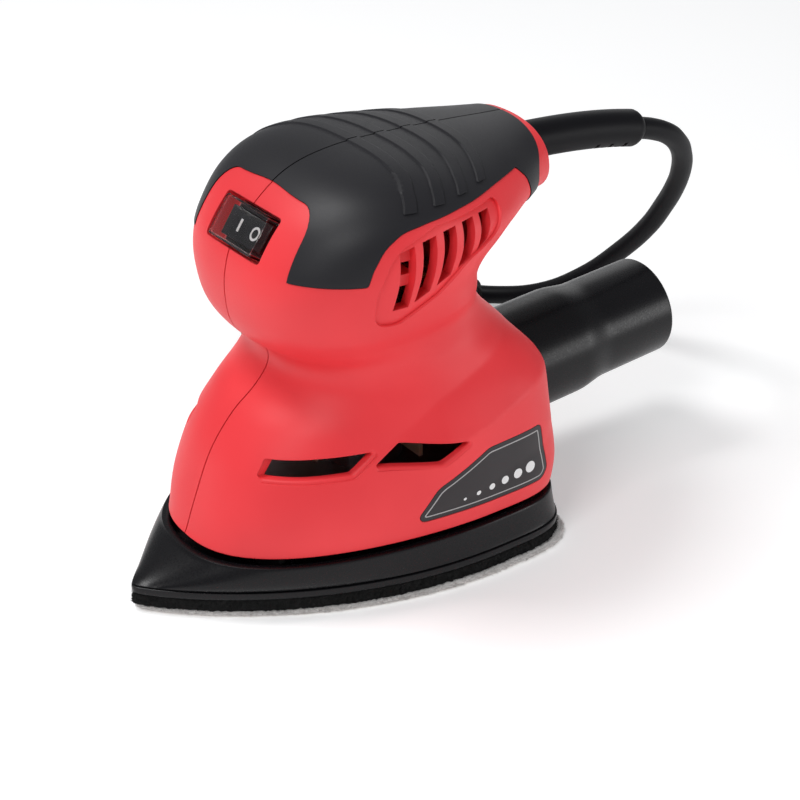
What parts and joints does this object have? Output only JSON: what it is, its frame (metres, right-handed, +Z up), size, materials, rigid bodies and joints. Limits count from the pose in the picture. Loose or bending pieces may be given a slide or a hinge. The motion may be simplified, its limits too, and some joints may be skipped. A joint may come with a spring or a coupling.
{
  "type": "detail mouse sander",
  "caption": "Palm-held orbital sander with an iron-shaped shoe, soft top grip, rocker switch and a rear dust adapter tube.",
  "frame": {"origin": "on the motor axis, on the underside of the sanding sheet", "axes": "+X to the rear, along the shoe towards the dust adapter; +Y to the left seen from the handle end looking to the tip; +Z up along the motor axis"},
  "size_m": [0.2466, 0.2085, 0.1352],
  "materials": {
    "red_housing": "fine textured satin",
    "soft_grip": "matt soft-touch",
    "black_plastic": "satin",
    "rubber": "satin",
    "foam": "fuzzy hook pad",
    "sheet": "fibrous backing",
    "label": "satin film",
    "clear_cap": "clear",
    "steel": "turned",
    "lamination": "stacked",
    "copper": "enamelled",
    "nylon": "matt",
    "alloy": "cast",
    "brass": "plain",
    "carbon": "matt"
  },
  "bodies": {
    "housing": {"housing_left": "red_housing", "grip_left": "soft_grip", "label_left": "label", "brush_holder_left": "brass", "brush_left": "carbon", "brush_spring_left": "steel", "housing_right": "red_housing", "grip_right": "soft_grip", "label_right": "label", "brush_holder_right": "brass", "brush_right": "carbon", "brush_spring_right": "steel", "housing_screw_1": "steel", "housing_screw_2": "steel", "housing_screw_3": "steel", "housing_screw_4": "steel", "housing_screw_5": "steel", "housing_screw_6": "steel", "switch_body": "black_plastic", "switch_cap": "clear_cap", "stator_core": "lamination", "field_coil_front": "copper", "field_coil_rear": "copper", "bearing_upper": "steel", "bearing_bush": "rubber", "bearing_lower": "steel", "bearing_bracket": "alloy", "strain_relief": "rubber", "cord_lead_in": "rubber", "cord_clamp": "black_plastic", "clamp_screw_1": "steel", "clamp_screw_2": "steel", "mains_cord": "rubber", "cord_coil": "rubber", "coil_tie": "black_plastic", "plug_body": "rubber", "plug_pin_left": "brass", "plug_pin_right": "brass"},
    "rotor": {"motor_shaft": "steel", "armature_core": "lamination", "armature_winding_lower": "copper", "armature_winding_upper": "copper", "commutator": "copper", "cooling_fan": "nylon", "eccentric_weight": "alloy"},
    "shoe": {"orbiting_shoe": "black_plastic", "hook_pad": "foam", "sanding_sheet": "sheet", "bearing_eccentric": "steel", "flexible_leg_1": "rubber", "flexible_leg_2": "rubber", "flexible_leg_3": "rubber", "flexible_leg_4": "rubber", "leg_screw_1": "steel", "leg_screw_2": "steel", "leg_screw_3": "steel", "leg_screw_4": "steel"},
    "switch": {"switch_rocker": "black_plastic"},
    "adapter": {"dust_adapter": "black_plastic"}
  },
  "joints": [
    {"name": "motor_spin", "type": "hinge", "parent": "housing", "child": "rotor", "pos_m": [0, 0, 0.065], "axis": [0, 0, 1], "continuous": true},
    {"name": "shoe_orbit", "type": "hinge", "parent": "rotor", "child": "shoe", "pos_m": [0.0008, 0, 0.013], "axis": [0, 0, 1], "continuous": true},
    {"name": "switch_rock", "type": "hinge", "parent": "housing", "child": "switch", "pos_m": [-0.03399, 0, 0.11215], "axis": [0.5807, 0, 0.8141], "range_deg": [-18, 0]},
    {"name": "dust_adapter_pull", "type": "slide", "parent": "housing", "child": "adapter", "axis": [0.9973, 0, 0.0732], "range_m": [0, 0.035]}
  ],
  "couplings": [
    {"joint": "shoe_orbit", "follows": "motor_spin", "ratio": -1}
  ]
}
